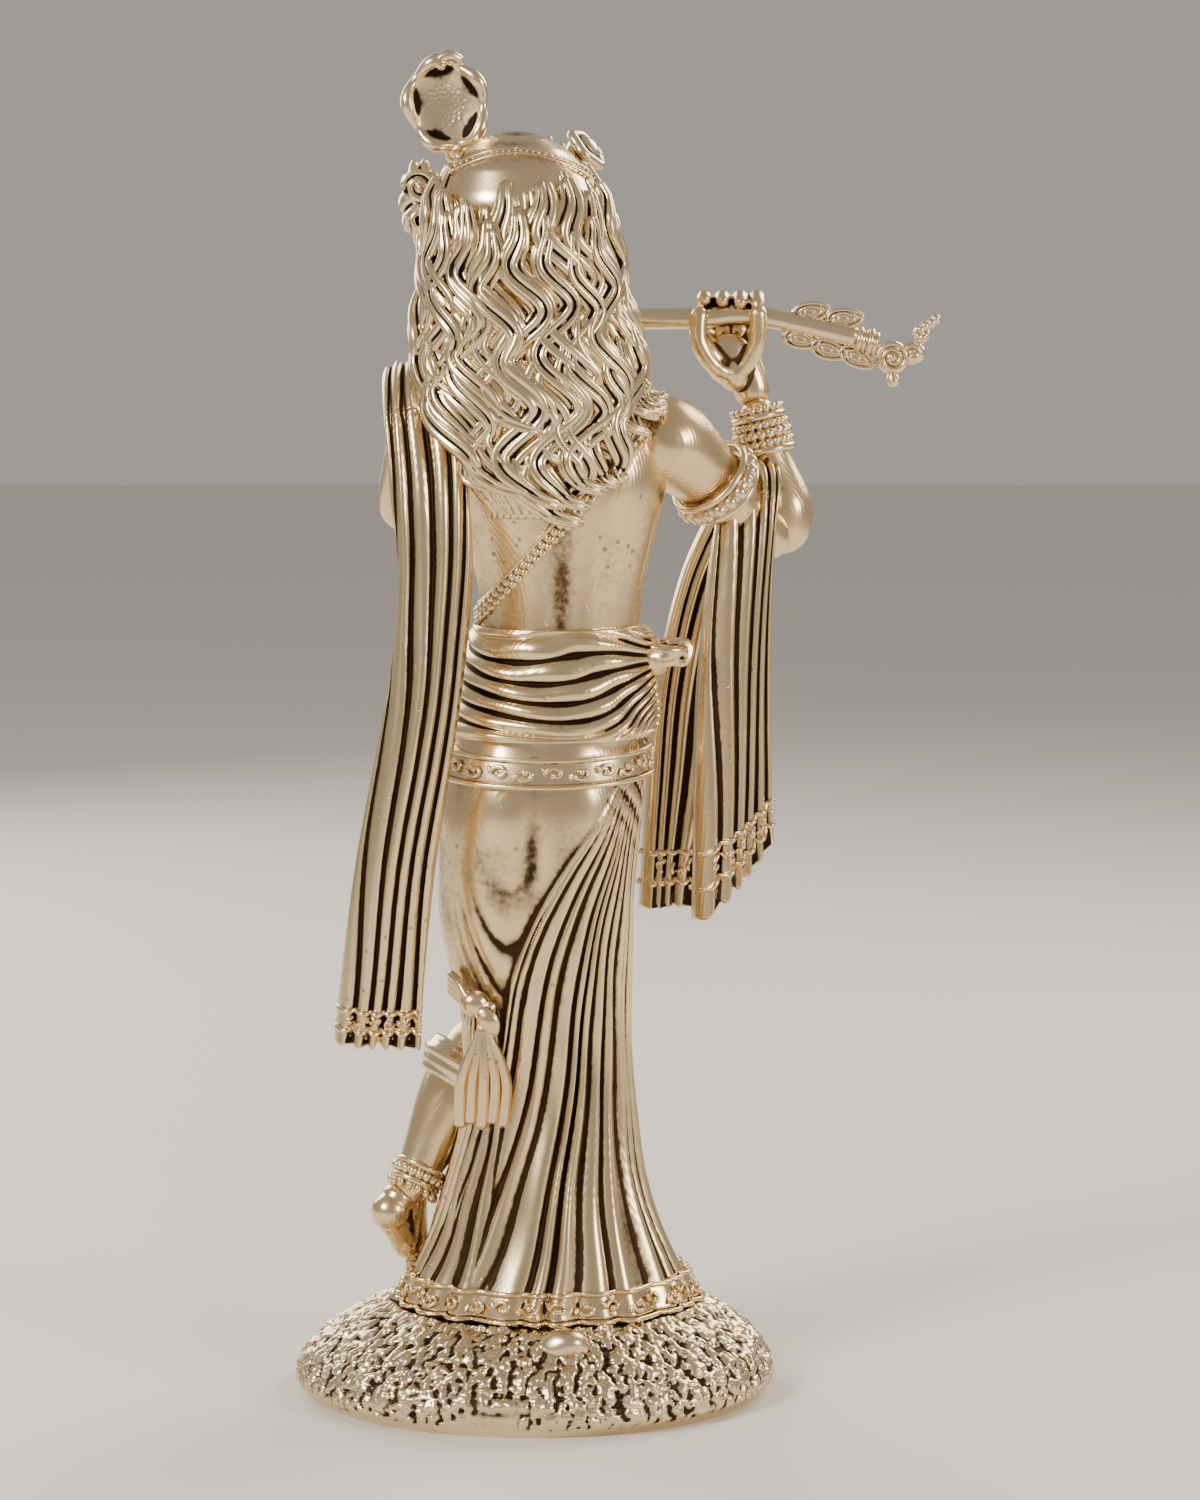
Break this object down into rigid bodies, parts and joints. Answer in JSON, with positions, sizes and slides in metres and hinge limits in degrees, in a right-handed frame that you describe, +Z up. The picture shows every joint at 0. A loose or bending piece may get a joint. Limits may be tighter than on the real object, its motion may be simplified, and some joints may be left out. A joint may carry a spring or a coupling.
{
  "type": "standing flute player figurine",
  "caption": "Cast brass figurine of a crowned flute player standing cross-legged on an oval plinth, in a pleated skirt and a long shawl.",
  "frame": {"origin": "centre of the plinth's flat underside", "axes": "+Z up, the figure faces -Y, and its own left side is +X"},
  "size_m": [0.0726, 0.0434, 0.1501],
  "materials": {
    "skin_brass": "satin cast brass with fine pits and darkened creases",
    "hair_brass": "antique cast brass, near black in the grooves, rubbed bright on the ridges",
    "cloth_brass": "antique cast brass, brown patina in the folds, rubbed bright on the ridges",
    "ornament_brass": "antique cast brass, dark between the beads and scrolls",
    "plinth_brass": "coarse antique cast brass, dark between the bumps"
  },
  "bodies": {
    "root": {"base_boulder": "plinth_brass", "base_mound": "plinth_brass", "bead_strand": "ornament_brass", "collar_necklace": "ornament_brass", "crossed_anklet": "ornament_brass", "crossed_calf": "skin_brass", "crossed_foot": "skin_brass", "crown_band": "ornament_brass", "crown_front_jewel": "ornament_brass", "crown_side_jewel": "ornament_brass", "dhoti_front_pleats": "cloth_brass", "dhoti_hem_band": "cloth_brass", "dhoti_skirt": "cloth_brass", "ear_ornament_left": "ornament_brass", "ear_ornament_right": "ornament_brass", "feather_crest": "ornament_brass", "flute_collars": "ornament_brass", "flute_finial": "ornament_brass", "flute_leaves": "ornament_brass", "flute_tube": "ornament_brass", "hair_cap": "hair_brass", "hair_centre_locks": "hair_brass", "hair_right_locks": "hair_brass", "head": "skin_brass", "hip_belt": "ornament_brass", "knee_cuff": "ornament_brass", "knee_tie_knot": "cloth_brass", "knee_tie_tails": "cloth_brass", "left_bangles": "ornament_brass", "left_forearm": "skin_brass", "left_hand": "skin_brass", "left_upper_arm": "skin_brass", "neck": "skin_brass", "right_armlet": "ornament_brass", "right_bangles": "ornament_brass", "right_forearm": "skin_brass", "right_hand": "skin_brass", "right_upper_arm": "skin_brass", "sash_side_knot": "cloth_brass", "shawl_front_border": "cloth_brass", "shawl_left_border": "cloth_brass", "shawl_left_fall": "cloth_brass", "shawl_left_shoulder": "cloth_brass", "shawl_right_border": "cloth_brass", "shawl_right_fold": "cloth_brass", "shawl_right_front_fall": "cloth_brass", "shawl_right_rear_fall": "cloth_brass", "standing_foot": "skin_brass", "torso": "skin_brass", "waist_sash": "cloth_brass"}
  },
  "joints": []
}
